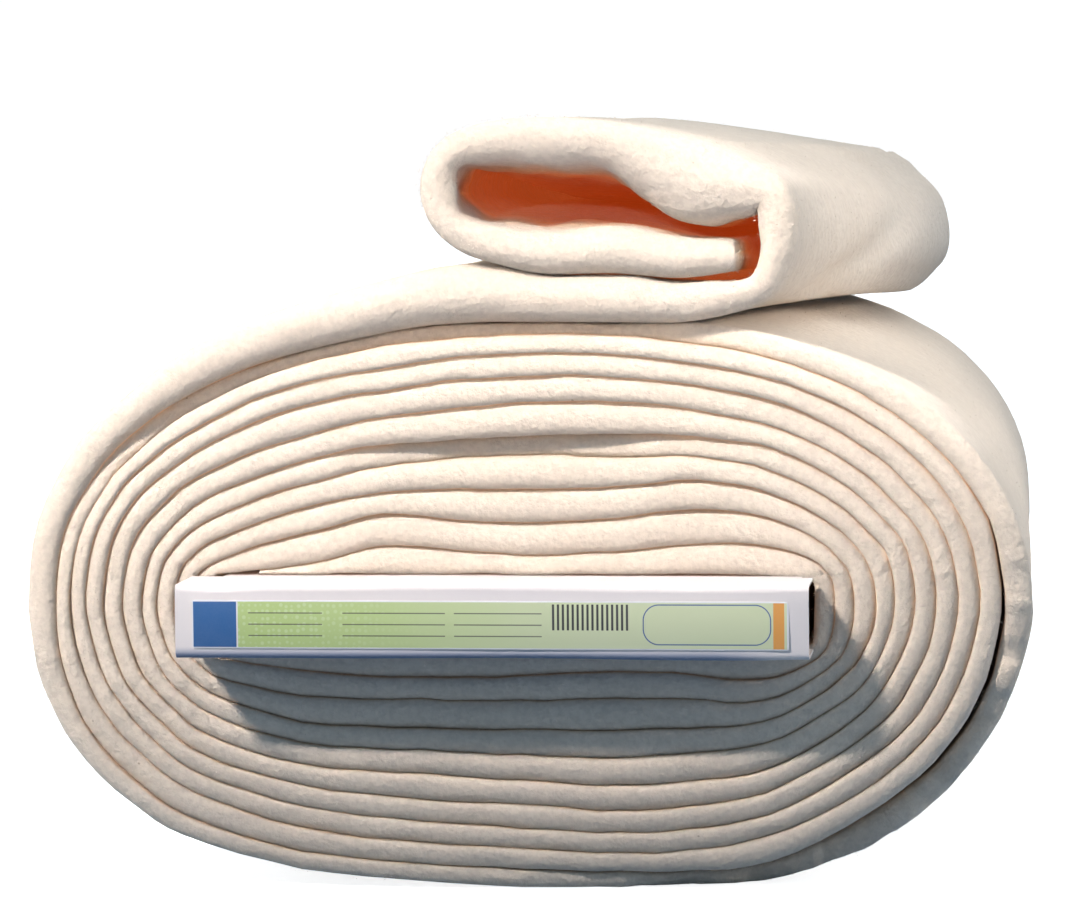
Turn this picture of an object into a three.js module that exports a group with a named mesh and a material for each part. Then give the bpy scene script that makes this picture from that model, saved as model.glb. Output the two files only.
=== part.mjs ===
// Roll of quilt batting: a long cloth folded in four and wound about ten turns round a flat
// board. The last turn comes off the roll and lies on top as a loose flattened loop.
// Millimetres. X runs right, Y away from the labelled end, Z up.
// The origin is the middle of the flat spot on which the roll rests.
import * as THREE from 'three';

const BOLT = { length: 610, turns: 10 };
const FACE = BOLT.length / 2;

const BOARD = { left: -153, right: 80, bottom: 97.9, top: 123.5, near: -326, far: 314 };

// A card folded to a U over the board's near end. Its two flaps narrow where they go in.
const CAP = { left: -162.5, right: 83.5, bottom: 96.3, top: 125.1, card: 1.2,
  front: -340, mouth: -307, flapEnd: -215, flapLeft: -150, flapRight: 79 };

const LABEL = { left: -155.7, right: 76, bottom: 100.4, top: 119.1, thickness: 0.8, gap: 0.3 };

// Where the cloth's turns lie, measured outwards from a small rectangle inside the board.
// first, middle and last are the outer sides of turns 1, 5 and 10; steps is how finely the
// stretch to the next section is cut.
const SLOT_REACH = 4;
const SECTIONS = [
  { name: 'start on top', x: -136, z: 121.6, angle: 92, first: 6, middle: 42.6, last: 86.9, steps: 2 },
  { name: 'left crest', x: -87, z: 121.6, angle: 90, first: 15.2, middle: 55.4, last: 100.6, steps: 2 },
  { name: 'dip', x: -23, z: 121.6, angle: 90, first: 11.3, middle: 58.6, last: 103.2, steps: 2 },
  { name: 'right crest', x: 38, z: 121.6, angle: 90, first: 15.6, middle: 58.4, last: 102.4, steps: 3 },
  { name: 'right shoulder', x: 82, z: 121.6, angle: 70, first: 8.4, middle: 40, last: 85.8, steps: 2 },
  { name: 'upper right', x: 82, z: 121.6, angle: 45, first: 8, middle: 37.9, last: 83.6, steps: 3 },
  { name: 'right', x: 82, z: 110.7, angle: 0, first: 9.8, middle: 41.1, last: 87.5, steps: 3 },
  { name: 'lower right', x: 82, z: 99.8, angle: -45, first: 9.4, middle: 35, last: 82.6, steps: 3 },
  { name: 'lower right corner', x: 82, z: 99.8, angle: -82, first: 9.2, middle: 41, last: 92.6, steps: 2 },
  { name: 'under right', x: 62, z: 99.8, angle: -90, first: 12, middle: 54, last: 99.8, steps: 1 },
  { name: 'under middle', x: 6, z: 99.8, angle: -90, first: 13.3, middle: 57.5, last: 99.8, steps: 2 },
  { name: 'under left', x: -72, z: 99.8, angle: -90, first: 15, middle: 54, last: 99.8, steps: 2 },
  { name: 'lower left bend', x: -120, z: 99.8, angle: -91, first: 13, middle: 49.7, last: 92.3, steps: 3 },
  { name: 'lower left corner', x: -152, z: 99.8, angle: -99, first: 9.5, middle: 38, last: 82, steps: 2 },
  { name: 'lower left', x: -152, z: 99.8, angle: -135, first: 10, middle: 32, last: 69.6, steps: 3 },
  { name: 'left', x: -152, z: 110.7, angle: -180, first: 10.4, middle: 39.6, last: 77.4, steps: 2 },
  { name: 'upper left', x: -152, z: 121.6, angle: -225, first: 9.4, middle: 37, last: 80.2, steps: 2 },
  { name: 'left shoulder', x: -152, z: 121.6, angle: -250, first: 7, middle: 39, last: 85.6, steps: 2 },
];

// Each turn shows as a rounded ridge on both ends, with a groove between turns.
const RIDGE = { grooveDepth: 4.5, flatShare: 0.5 };

// The loose end: its middle line from where it leaves the roll, over the top, up and back
// and under itself to the cut edge. shiftX and shiftZ say how far it moves at the far end.
const LOOSE = { near: -304, far: 304, steps: 3, edgeShare: 0.45 };
const LOOSE_END = [
  { name: 'leaves the roll', x: -221.4, z: 147.2, thick: 10.4, shiftX: 0, shiftZ: 0 },
  { name: 'left side', x: -212, z: 171, thick: 11.8, shiftX: 0, shiftZ: 0 },
  { name: 'left shoulder', x: -189.5, z: 195.2, thick: 12.8, shiftX: 0, shiftZ: 0 },
  { name: 'rise', x: -140.5, z: 218.6, thick: 15, shiftX: 0, shiftZ: 0 },
  { name: 'top left', x: -87, z: 232.8, thick: 17.6, shiftX: 0, shiftZ: 0 },
  { name: 'under the bend', x: -54, z: 236.9, thick: 21, shiftX: 0, shiftZ: 0 },
  { name: 'under the fold', x: -23, z: 234.4, thick: 17.2, shiftX: 5, shiftZ: 0 },
  { name: 'under the middle', x: 6, z: 234.2, thick: 16.6, shiftX: 12, shiftZ: 0 },
  { name: 'before the turn up', x: 36, z: 232.8, thick: 14.4, shiftX: 24, shiftZ: -1 },
  { name: 'turns up', x: 61, z: 237.4, thick: 11, shiftX: 36, shiftZ: -11 },
  { name: 'right bend low', x: 69.6, z: 250.3, thick: 11.4, shiftX: 44, shiftZ: -14 },
  { name: 'right bend', x: 71.4, z: 264, thick: 11.4, shiftX: 43, shiftZ: -18 },
  { name: 'right bend high', x: 66, z: 275, thick: 13, shiftX: 41, shiftZ: -13 },
  { name: 'lobe right', x: 55, z: 280, thick: 18, shiftX: 42, shiftZ: -6 },
  { name: 'lobe', x: 39, z: 283, thick: 25, shiftX: 40, shiftZ: -1 },
  { name: 'lobe left', x: 23, z: 288.4, thick: 22, shiftX: 36, shiftZ: 1 },
  { name: 'top', x: 4, z: 294.6, thick: 16.4, shiftX: 20, shiftZ: 5 },
  { name: 'top middle', x: -22, z: 297, thick: 16, shiftX: 0, shiftZ: 9 },
  { name: 'top left end', x: -44, z: 296, thick: 15, shiftX: -2, shiftZ: 8 },
  { name: 'left bend high', x: -58.4, z: 291, thick: 13, shiftX: -2, shiftZ: 6 },
  { name: 'left bend', x: -64.2, z: 280, thick: 13, shiftX: -2, shiftZ: 4 },
  { name: 'left bend low', x: -61.8, z: 267.6, thick: 13, shiftX: -2, shiftZ: 2 },
  { name: 'turns under', x: -52, z: 258.6, thick: 13.4, shiftX: -2, shiftZ: 1 },
  { name: 'inner left', x: -38, z: 254.6, thick: 14.6, shiftX: 0, shiftZ: 0 },
  { name: 'inner dip', x: -21, z: 251.4, thick: 15, shiftX: 5, shiftZ: 0 },
  { name: 'inner middle', x: 6, z: 252.2, thick: 16.6, shiftX: 12, shiftZ: 0 },
  { name: 'inner right', x: 31, z: 249.8, thick: 15.4, shiftX: 25, shiftZ: -1 },
  { name: 'cut edge', x: 52.4, z: 250.6, thick: 12.6, shiftX: 38, shiftZ: -5 },
];

// A smooth curve through four neighbouring values, between the two in the middle.
const smooth = (before, from, to, after, t) => 0.5 * (2 * from + (to - before) * t
  + (2 * before - 5 * from + 4 * to - after) * t * t
  + (3 * from - before - 3 * to + after) * t * t * t);

const smoothRow = (rowAt, index, t, columns) => Object.fromEntries(columns.map((column) =>
  [column, smooth(rowAt(index - 1)[column], rowAt(index)[column], rowAt(index + 1)[column],
    rowAt(index + 2)[column], t)]));

// How far out the given side of a turn lies: side 0 is the board's slot, side 10 the outside.
function reachOf(section, side) {
  if (side <= 0) return SLOT_REACH;
  if (side <= 5) return THREE.MathUtils.lerp(section.first, section.middle, (side - 1) / 4);
  return THREE.MathUtils.lerp(section.middle, section.last, (side - 5) / 5);
}

// The spiral line between the turns, one row per section passed, from the slot outwards.
const sectionRow = (index) => {
  const count = SECTIONS.length;
  const side = Math.floor(index / count);
  const section = SECTIONS[index - side * count];
  return { x: section.x, z: section.z, angle: section.angle - 360 * side,
    reach: reachOf(section, side), steps: section.steps };
};

function spiralLine(lastIndex) {
  const line = [];
  for (let index = 0; index < lastIndex; index++) {
    const here = sectionRow(index);
    const next = sectionRow(index + 1);
    for (let step = 0; step < here.steps; step++) {
      const t = step / here.steps;
      const { reach } = smoothRow(sectionRow, index, t, ['reach']);
      const angle = THREE.MathUtils.degToRad(THREE.MathUtils.lerp(here.angle, next.angle, t));
      line.push([THREE.MathUtils.lerp(here.x, next.x, t) + reach * Math.cos(angle),
        Math.max(0, THREE.MathUtils.lerp(here.z, next.z, t) + reach * Math.sin(angle))]);
    }
  }
  return line;
}

function closedBody(vertices, triangles) {
  const geometry = new THREE.BufferGeometry();
  geometry.setAttribute('position', new THREE.Float32BufferAttribute(vertices.flat(), 3));
  geometry.setIndex(triangles.flat());
  geometry.computeVertexNormals();
  return geometry;
}

// The wound cloth as one body with a slot for the board. Both ends follow the spiral.
function woundBody() {
  const stationsPerTurn = SECTIONS.reduce((sum, section) => sum + section.steps, 0);
  const left = SECTIONS.findIndex((section) => section.name === 'left');
  const line = spiralLine(SECTIONS.length * BOLT.turns + left + 1);
  const lastStation = line.length - 1 - stationsPerTurn;
  const vertices = [];
  const triangles = [];
  const flip = (end, triangle) => triangles.push(end < 0 ? triangle : [...triangle].reverse());

  const ends = [-1, 1].map((end) => {
    const groove = line.map(([x, z]) => vertices.push([x, end * (FACE - RIDGE.grooveDepth), z]) - 1);
    const ridge = [];
    for (let i = 0; i <= lastStation; i++) {
      const inner = line[i];
      const outer = line[i + stationsPerTurn];
      ridge.push([0.5 - RIDGE.flatShare / 2, 0.5 + RIDGE.flatShare / 2].map((share) => vertices.push([
        THREE.MathUtils.lerp(inner[0], outer[0], share), end * FACE,
        THREE.MathUtils.lerp(inner[1], outer[1], share)]) - 1));
    }
    const strip = (i) => [groove[i], ridge[i][0], ridge[i][1], groove[i + stationsPerTurn]];
    for (let i = 0; i < lastStation; i++) {
      const here = strip(i);
      const next = strip(i + 1);
      for (let k = 0; k < 3; k++) {
        flip(end, [here[k], next[k], next[k + 1]]);
        flip(end, [here[k], next[k + 1], here[k + 1]]);
      }
    }
    const slotRim = [...groove.slice(0, stationsPerTurn + 1), ...[...ridge[0]].reverse()];
    const outerRim = [...groove.slice(lastStation), ...[...ridge[lastStation]].reverse()];
    return { slotRim, outerRim };
  });

  const wall = (nearRim, farRim, outward) => nearRim.forEach((a, i) => {
    const b = nearRim[(i + 1) % nearRim.length];
    const [c, d] = [farRim[(i + 1) % farRim.length], farRim[i]];
    const pair = [[a, b, c], [a, c, d]];
    pair.forEach((triangle) => triangles.push(outward ? [...triangle].reverse() : triangle));
  });
  wall(ends[0].slotRim, ends[1].slotRim, true);
  wall(ends[0].outerRim, ends[1].outerRim, false);
  return closedBody(vertices, triangles);
}

// The loose end as one thick sheet with rounded edges.
function looseSheet() {
  const rowAt = (index) => LOOSE_END[Math.min(Math.max(index, 0), LOOSE_END.length - 1)];
  const columns = ['x', 'z', 'thick', 'shiftX', 'shiftZ'];
  const rows = [];
  for (let index = 0; index < LOOSE_END.length - 1; index++) {
    for (let step = 0; step < LOOSE.steps; step++) {
      rows.push(smoothRow(rowAt, index, step / LOOSE.steps, columns));
    }
  }
  rows.push(rowAt(LOOSE_END.length - 1));

  const centre = (row, far) => new THREE.Vector2(row.x + far * row.shiftX, row.z + far * row.shiftZ);
  const vertices = [];
  const rings = rows.map((row, i) => {
    const before = rows[Math.max(i - 1, 0)];
    const after = rows[Math.min(i + 1, rows.length - 1)];
    const place = (far, side, y) => {
      const run = centre(after, far).sub(centre(before, far)).normalize();
      const point = centre(row, far).addScaledVector(new THREE.Vector2(-run.y, run.x), side);
      return vertices.push([point.x, y, point.y]) - 1;
    };
    const half = row.thick / 2;
    const inset = row.thick * LOOSE.edgeShare;
    return [place(0, half, LOOSE.near + inset), place(1, half, LOOSE.far - inset),
      place(1, half / 2, LOOSE.far), place(1, -half / 2, LOOSE.far),
      place(1, -half, LOOSE.far - inset), place(0, -half, LOOSE.near + inset),
      place(0, -half / 2, LOOSE.near), place(0, half / 2, LOOSE.near)];
  });

  const triangles = [];
  const corners = rings[0].length;
  for (let i = 0; i < rings.length - 1; i++) {
    for (let k = 0; k < corners; k++) {
      const [a, b] = [rings[i][k], rings[i][(k + 1) % corners]];
      const [c, d] = [rings[i + 1][(k + 1) % corners], rings[i + 1][k]];
      triangles.push([a, c, b], [a, d, c]);
    }
  }
  const lid = (ring) => ring.slice(1, -1).map((corner, k) => [ring[0], ring[k + 2], corner]);
  triangles.push(...lid(rings[rings.length - 1]));
  triangles.push(...lid(rings[0]).map((triangle) => [...triangle].reverse()));
  return closedBody(vertices, triangles);
}

function box(left, right, near, far, bottom, top) {
  const geometry = new THREE.BoxGeometry(right - left, far - near, top - bottom);
  geometry.translate((left + right) / 2, (near + far) / 2, (bottom + top) / 2);
  return geometry;
}

// The U of the cap: its side profile swept across, with the flaps drawn in to a narrower width.
function capShape() {
  const { front, mouth, flapEnd, bottom, top, card } = CAP;
  const outside = [[flapEnd, bottom], [mouth, bottom], [front, bottom], [front, top], [mouth, top],
    [flapEnd, top]];
  const inside = [[flapEnd, top - card], [mouth, top - card], [front + card, top - card],
    [front + card, bottom + card], [mouth, bottom + card], [flapEnd, bottom + card]];
  const profile = [...outside, ...inside];
  const vertices = [];
  const sides = ['left', 'right'].map((side) => profile.map(([y, z]) => {
    const inFlap = y > mouth - 1;
    const x = side === 'left' ? (inFlap ? CAP.flapLeft : CAP.left) : (inFlap ? CAP.flapRight : CAP.right);
    return vertices.push([x, y, z]) - 1;
  }));
  const count = profile.length;
  const triangles = [];
  for (let i = 0; i < count; i++) {
    const j = (i + 1) % count;
    triangles.push([sides[0][i], sides[1][j], sides[0][j]], [sides[0][i], sides[1][i], sides[1][j]]);
  }
  for (let i = 0; i < outside.length - 1; i++) {
    const [a, b, c, d] = [i, i + 1, count - 2 - i, count - 1 - i];
    triangles.push([sides[0][a], sides[0][b], sides[0][c]], [sides[0][a], sides[0][c], sides[0][d]]);
    triangles.push([sides[1][a], sides[1][c], sides[1][b]], [sides[1][a], sides[1][d], sides[1][c]]);
  }
  return closedBody(vertices, triangles);
}

const batting = { color: 0xeee2d4, roughness: 0.95, metalness: 0 };
const card = { color: 0xe9e4ef, roughness: 0.6, metalness: 0 };

function piece(name, geometry, look) {
  const mesh = new THREE.Mesh(geometry, new THREE.MeshStandardMaterial(look));
  mesh.name = name;
  return mesh;
}

const roll = new THREE.Group();
roll.add(piece('batting_roll', woundBody(), batting));
roll.add(piece('loose_end', looseSheet(), batting));
roll.add(piece('core_board', box(BOARD.left, BOARD.right, BOARD.near, BOARD.far, BOARD.bottom, BOARD.top),
  { color: 0x8a6a4c, roughness: 0.85, metalness: 0 }));
roll.add(piece('end_cap', capShape(), card));
const labelBack = CAP.front - LABEL.gap;
roll.add(piece('label', box(LABEL.left, LABEL.right, labelBack - LABEL.thickness, labelBack,
  LABEL.bottom, LABEL.top), { color: 0xf2f0f5, roughness: 0.45, metalness: 0 }));

export default roll;
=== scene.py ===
import math
import random

import bpy
import numpy as np
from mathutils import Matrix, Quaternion, Vector, noise


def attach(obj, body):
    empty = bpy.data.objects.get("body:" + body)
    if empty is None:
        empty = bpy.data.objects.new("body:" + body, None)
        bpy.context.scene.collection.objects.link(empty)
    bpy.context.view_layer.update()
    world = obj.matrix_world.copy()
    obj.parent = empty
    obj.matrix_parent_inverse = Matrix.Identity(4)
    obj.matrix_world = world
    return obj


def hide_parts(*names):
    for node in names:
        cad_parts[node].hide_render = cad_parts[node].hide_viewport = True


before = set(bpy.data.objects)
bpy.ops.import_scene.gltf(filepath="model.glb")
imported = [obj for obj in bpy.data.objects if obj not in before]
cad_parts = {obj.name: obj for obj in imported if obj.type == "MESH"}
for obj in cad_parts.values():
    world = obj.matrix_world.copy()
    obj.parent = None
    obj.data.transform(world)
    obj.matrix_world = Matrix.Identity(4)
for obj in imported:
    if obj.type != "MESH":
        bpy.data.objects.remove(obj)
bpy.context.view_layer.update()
bpy.ops.object.select_all(action="DESELECT")
print("frame loaded")

mm = 0.001

# The camera stands before the near end, a little to its right and above it.
view = {"place": (0.1635, -1.8362, 0.2771), "tilt": (86.05, 0.541, 6.854), "lens": 130.4}

cameraData = bpy.data.cameras.new("camera")
cameraData.lens = view["lens"]
cameraData.sensor_width = 36
cameraData.clip_end = 90
camera = bpy.data.objects.new("camera", cameraData)
camera.location = view["place"]
camera.rotation_euler = [math.radians(a) for a in view["tilt"]]
bpy.context.scene.collection.objects.link(camera)
bpy.context.scene.camera = camera
print("camera placed")


def namedRows(names, rows):  # a table's rows as dictionaries, by the names of its columns
    return [dict(zip(names.split(), row)) for row in rows]


# The way the cloth is wound, in millimetres.
# One row for each section round the board, clockwise from the cloth's hidden start.
# x, z and angle are where the section starts beside the board and which way it runs out,
# and reach is how far out the outer side of turns 1 to 10 lies.
winding = namedRows("at x z angle reach", [
    ("start", -136, 121.6, 92, (5.3, 15.3, 24.1, 33.9, 42.3, 52.6, 64.0, 73.0, 80.7, 86.4)),
    ("rise", -110, 121.6, 91, (9.3, 21.7, 32.2, 41.5, 50.7, 60.4, 72.4, 81.1, 88.7, 94.3)),
    ("left crest", -87, 121.6, 90, (15.0, 27.7, 36.2, 46.2, 54.9, 66.1, 76.3, 85.1, 93.5, 99.8)),
    ("falling", -55, 121.6, 90, (13.0, 25.1, 37.6, 49.6, 57.0, 69.5, 80.7, 89.7, 97.0, 102.3)),
    ("dip", -23, 121.6, 90, (11.4, 24.3, 37.6, 50.5, 58.4, 72.1, 82.1, 91.0, 98.0, 102.7)),
    ("rising", 6, 121.6, 90, (13.1, 26.1, 38.2, 49.5, 59.1, 72.0, 81.6, 90.4, 97.5, 101.9)),
    ("right crest", 38, 121.6, 90, (15.9, 29.5, 40.9, 50.2, 58.4, 68.0, 78.2, 86.6, 94.2, 102.4)),
    ("past the crest", 62, 121.6, 82, (15.2, 26.6, 36.2, 44.8, 53.3, 61.4, 71.2, 79.8, 87.2, 97.0)),
    ("right shoulder", 82, 121.6, 70, (9.8, 16.9, 25.0, 33.3, 41.3, 49.7, 58.4, 67.4, 75.6, 86.2)),
    ("upper right", 82, 121.6, 45, (8.5, 15.4, 23.4, 31.0, 38.5, 46.3, 54.6, 63.8, 72.5, 83.2)),
    ("right high", 82, 121.6, 20, (8.9, 16.0, 24.1, 31.9, 39.7, 47.6, 55.9, 64.5, 73.3, 83.9)),
    ("right", 82, 110.7, 0, (10.1, 17.4, 26.0, 33.1, 40.9, 49.2, 57.5, 65.8, 74.1, 86.2)),
    ("right low", 82, 99.8, -20, (7.4, 13.4, 19.9, 27.1, 34.8, 43.3, 51.9, 60.2, 69.0, 80.3)),
    ("lower right", 82, 99.8, -45, (7.2, 12.8, 18.8, 26.5, 34.1, 42.5, 50.7, 59.3, 67.8, 80.8)),
    ("right corner", 82, 99.8, -72, (8.0, 13.8, 20.6, 28.2, 37.2, 45.1, 53.6, 62.9, 72.0, 86.9)),
    ("under the corner", 62, 99.8, -88, (15.9, 24.3, 32.4, 41.2, 51.4, 60.4, 69.2, 77.6, 88.0, 98.4)),
    ("under right", 34, 99.8, -90, (13.5, 23.5, 35.4, 45.0, 56.2, 66.1, 75.1, 83.4, 92.0, 99.7)),
    ("under", 6, 99.8, -90, (12.8, 23.7, 36.2, 47.2, 58.1, 68.0, 76.8, 84.9, 92.3, 99.7)),
    ("under middle", -33, 99.8, -90, (14.8, 24.6, 36.3, 46.2, 56.3, 65.9, 75.3, 83.3, 91.6, 99.4)),
    ("under left", -72, 99.8, -90, (15.7, 24.3, 35.9, 44.5, 54.1, 64.0, 73.0, 81.6, 90.0, 97.4)),
    ("lower left bend", -120, 99.8, -91, (13.3, 23.2, 33.6, 42.0, 50.4, 58.8, 67.2, 76.0, 85.3, 92.6)),
    ("left corner", -152, 99.8, -102, (8.0, 15.5, 23.2, 30.7, 39.4, 47.4, 55.1, 63.2, 73.4, 81.4)),
    ("lower left", -152, 99.8, -120, (8.0, 14.5, 21.8, 28.6, 36.0, 43.3, 50.8, 58.9, 69.0, 77.2)),
    ("left below", -152, 99.8, -145, (8.5, 14.8, 21.4, 28.3, 35.2, 42.5, 49.6, 57.4, 66.8, 75.8)),
    ("left low", -152, 99.8, -165, (9.5, 15.8, 22.3, 28.8, 36.5, 44.2, 51.5, 58.5, 66.3, 76.6)),
    ("left", -152, 110.7, -180, (12.5, 19.5, 26.5, 32.3, 40.3, 48.0, 54.9, 61.5, 67.6, 79.2)),
    ("left high", -152, 121.6, -198, (10.5, 17.2, 24.3, 30.4, 38.9, 47.2, 54.5, 60.5, 66.9, 78.9)),
    ("upper left", -152, 121.6, -225, (9.2, 16.0, 23.8, 30.0, 38.9, 47.9, 54.9, 60.7, 67.6, 81.4)),
    ("left shoulder", -152, 121.6, -250, (9.0, 16.7, 24.9, 32.6, 41.9, 50.7, 58.8, 65.6, 72.8, 87.3)),
])

# Where a turn lies further in than the rest at the near end, by how much (back), how far its
# inner side stands off the turn inside it (slack), and how creased it is there (folds).
tucked = namedRows("turn at back slack folds", [
    (5, "rise", 0, 0, 0),
    (5, "left crest", 4, 0, 0),
    (5, "falling", 9, 0, 0),
    (5, "dip", 9, 0, 0),
    (5, "rising", 7, 0, 0),
    (5, "right crest", 2, 0, 0),
    (5, "past the crest", 0, 0, 0),
    (9, "left", 0, 0, 0),
    (9, "upper left", 3, 0, 0.2),
    (9, "left shoulder", 8, 0, 0.3),
    (10, "rise", 13, 0, 0.3),
    (10, "left crest", 15, 0, 0.3),
    (10, "falling", 15, 0, 0.3),
    (10, "dip", 15, 0, 0.2),
    (10, "rising", 13, 0, 0),
    (10, "right crest", 9, 0, 0),
    (10, "past the crest", 3, 0, 0),
    (10, "upper right", 0, 0, 0),
    (10, "right high", 0.5, 0.6, 0.1),
    (10, "right", 3, 1.4, 0.3),
    (10, "right low", 9, 2, 0.7),
    (10, "lower right", 17, 2.4, 1),
    (10, "right corner", 23, 2.8, 1),
    (10, "under the corner", 22, 2.4, 1),
    (10, "under right", 14, 1.8, 0.8),
    (10, "under", 6, 1, 0.5),
    (10, "under middle", 2, 0.4, 0.2),
    (10, "under left", 0, 0, 0),
])
sections = [row["at"] for row in winding]
for row in tucked:  # the place along the cloth, in sections passed since its start
    row["place"] = (row["turn"] - 1) * len(sections) + sections.index(row["at"])

# The loose end's middle line, from the left shoulder over the top and round to its cut edge.
# shiftX and shiftZ are how far it has moved at the far end, hollow is how much its left side
# faces the inside of the loop, and plump is how far that side swells at half length.
looseRun = namedRows("at x z thick shiftX shiftZ hollow plump", [
    ("rise", -140.5, 216.7, 17.4, 0, 0, 0, 0),
    ("top left", -87, 231.0, 20.2, 0, 0, 0, 0),
    ("under the bend", -54, 236.0, 23.2, 0, 0, 0, 0),
    ("under the fold", -23, 233.9, 18, 5, 0, 0.3, 0),
    ("under the middle", 6, 233.5, 17.8, 12, 0, 0.4, 0),
    ("before the turn up", 36, 232.4, 15, 24, -1, 0.6, 0),
    ("turns up", 61, 237.4, 11.4, 36, -11, 1, 1),
    ("right bend low", 68.4, 250.9, 14, 44, -14, 1, 2),
    ("right bend", 69.8, 264, 15, 47, -16, 1, 3),
    ("right bend high", 65.8, 274.4, 16, 48, -9, 1, 2),
    ("lobe right", 54, 277, 24, 50, -2, 1, 2),
    ("lobe", 38, 279, 33, 48, 2, 1, 2),
    ("lobe left", 22, 286.6, 25.6, 38, 3, 1, 9),
    ("top", 4, 294.6, 16.4, 20, 5, 1, 19.5),
    ("top middle", -22, 297, 16, 0, 9, 1, 21.5),
    ("top left end", -44, 296, 15, -2, 8, 1, 15),
    ("left bend high", -58.4, 291, 13, -2, 6, 1, 4),
    ("left bend", -64.2, 280, 13, -2, 4, 1, 2),
    ("left bend low", -61.8, 267.6, 13, -2, 2, 1, 3),
    ("turns under", -52, 258.6, 13.4, -2, 1, 1, 5),
    ("inner left", -38, 254.6, 14.6, 0, 0, 1, 10),
    ("inner dip", -21, 251.4, 15.4, 5, 0, 1, 13),
    ("inner middle", 6, 252.2, 17, 12, 0, 1, 8),
    ("inner right", 31, 249.6, 15.8, 25, -1, 1, 5),
    ("cut edge", 51, 250.4, 12.6, 38, -5, 1, 2),
])

batting = {
    "near": -305,       # the wound ends' places along Y
    "far": 305,
    "turns": 10,
    "slot": 4,          # the empty rim round the board
    "right": 82,        # where the sections at the board's right side start
    "rightSlot": 1.6,   # the rim there
    "gap": 0.06,        # air between turns
    "floorGap": 0.2,    # least height over the floor
    "stepsPerSection": 4,
    "foldSteps": 11,    # the same where the cloth is creased
    "looseSteps": 8,
    "edgeSteps": 12,    # faces round a folded edge
    "innerSteps": 8,    # faces along the hidden turns
    "lengthSteps": 42,  # and along the outer one and the loose end
    "outerFrom": 255,   # the place where the outer ones begin
    "edgeDepth": 0.42,  # how far a wound edge is rounded, in thicknesses
    "looseDepth": 0.5,
    "squareness": 2.25,  # 2 is a round edge, and more is flatter
    "lean": 2.0,        # how much further in an edge's outer side lies
    "wander": 0.9,      # how far the turns' edges stray along Y
    "waves": 1.2,       # swell of the outer faces
    "uneven": 0.7,      # stray of the lines between turns
    "lumps": 2.2,       # small unevenness inside the loop
    # the rounded cut edge: how far on, and the share of the thickness there
    "cutRound": ((0, 1), (0.9, 0.95), (1.7, 0.84), (2.2, 0.66), (2.5, 0.4)),
    # the loop's right side, by X, Z and place, and the fold that slants across it
    "loopSide": {"from": 45, "low": 238, "high": 284, "before": 303},
    "fold": {"z": 243, "slope": 79, "start": 0.3, "width": 9, "rise": 4, "drop": 2.5},
    "undersideFrom": (310.3, 311.6),  # places where the painted warm shade on the inner layer's underside begins
    "weakShadeUntil": (-62, -6),           # along X, where the painted shade on the loop's left side is weaker
    "lateUntil": (-66, -24),          # and where the painted shade begins further in
}


def smooth(before, start, end, after, t):  # a curve through four neighbours, between the middle two
    return 0.5 * (2 * start + (end - before) * t + (2 * before - 5 * start + 4 * end - after) * t * t
                  + (3 * start - before - 3 * end + after) * t ** 3)


def bend(before, start, end, after, t):  # the same for points that stand unevenly far apart
    sides = ((before, start), (start, end), (end, after))
    first, middle, last = (max(np.linalg.norm(b - a), 0.01) ** 0.5 for a, b in sides)
    leave = middle * ((start - before) / first - (end - before) / (first + middle) + (end - start) / middle)
    arrive = middle * ((end - start) / middle - (after - start) / (middle + last) + (after - end) / last)
    return ((2 * t ** 3 - 3 * t * t + 1) * start + (t ** 3 - 2 * t * t + t) * leave
            + (3 * t * t - 2 * t ** 3) * end + (t ** 3 - t * t) * arrive)


def ease(low, high, value):  # 0 below low, 1 above high
    t = min(1, max(0, (value - low) / (high - low)))
    return t * t * (3 - 2 * t)


def swell(x, y, z, size, seed):  # smooth repeatable unevenness, about -1 to 1
    return noise.noise(Vector((x / size + seed, y / size - seed, z / size + 2 * seed)))


def spiralStop(index):  # where the spiral line between turns meets a section, by sections passed
    index = min(max(index, 0), len(winding) * (batting["turns"] + 1) - 1)
    turn, section = divmod(index, len(winding))
    row = winding[section]
    slot = batting["rightSlot"] if row["x"] == batting["right"] else batting["slot"]
    reach = slot if turn == 0 else row["reach"][turn - 1]
    angle = math.radians(row["angle"])
    return np.array((row["x"] + reach * math.cos(angle), row["z"] + reach * math.sin(angle)))


def spiralPoint(place):
    index = int(math.floor(place))
    point = bend(*(spiralStop(index + step) for step in (-1, 0, 1, 2)), place - index)
    x, z = point
    if z > 6:  # the layers' small unevenness
        point = point + batting["uneven"] * np.array((swell(x, 0, z, 15, 6.6), swell(x, 0, z, 13, 2.9)))
    return np.array((point[0], max(point[1], 0.3)))


def tuckAt(place, key):
    places = [row["place"] for row in tucked]
    return float(np.interp(place, places, [row[key] for row in tucked]))


def woundStations():
    count = len(winding)
    stations = []
    last = count * batting["turns"] - 1
    places = []
    for section in range(last):
        creased = tuckAt(section + 0.5, "folds") > 0.35
        steps = batting["foldSteps" if creased else "stepsPerSection"]
        places += [section + step / steps for step in range(steps)]
    for place in places + [last]:
        inner, outer = spiralPoint(place), spiralPoint(place + count)
        across = outer - inner
        thick = np.linalg.norm(across)
        across = across / thick
        slack = tuckAt(place, "slack")
        stations.append({"centre": (inner + outer) / 2 + across * slack / 2, "across": across,
                         "thick": thick - batting["gap"] - slack, "shift": np.zeros(2), "place": place,
                         "plump": 0, "hollow": 0, "free": 0,
                         "outside": place > count * (batting["turns"] - 1)})
    return stations


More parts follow.
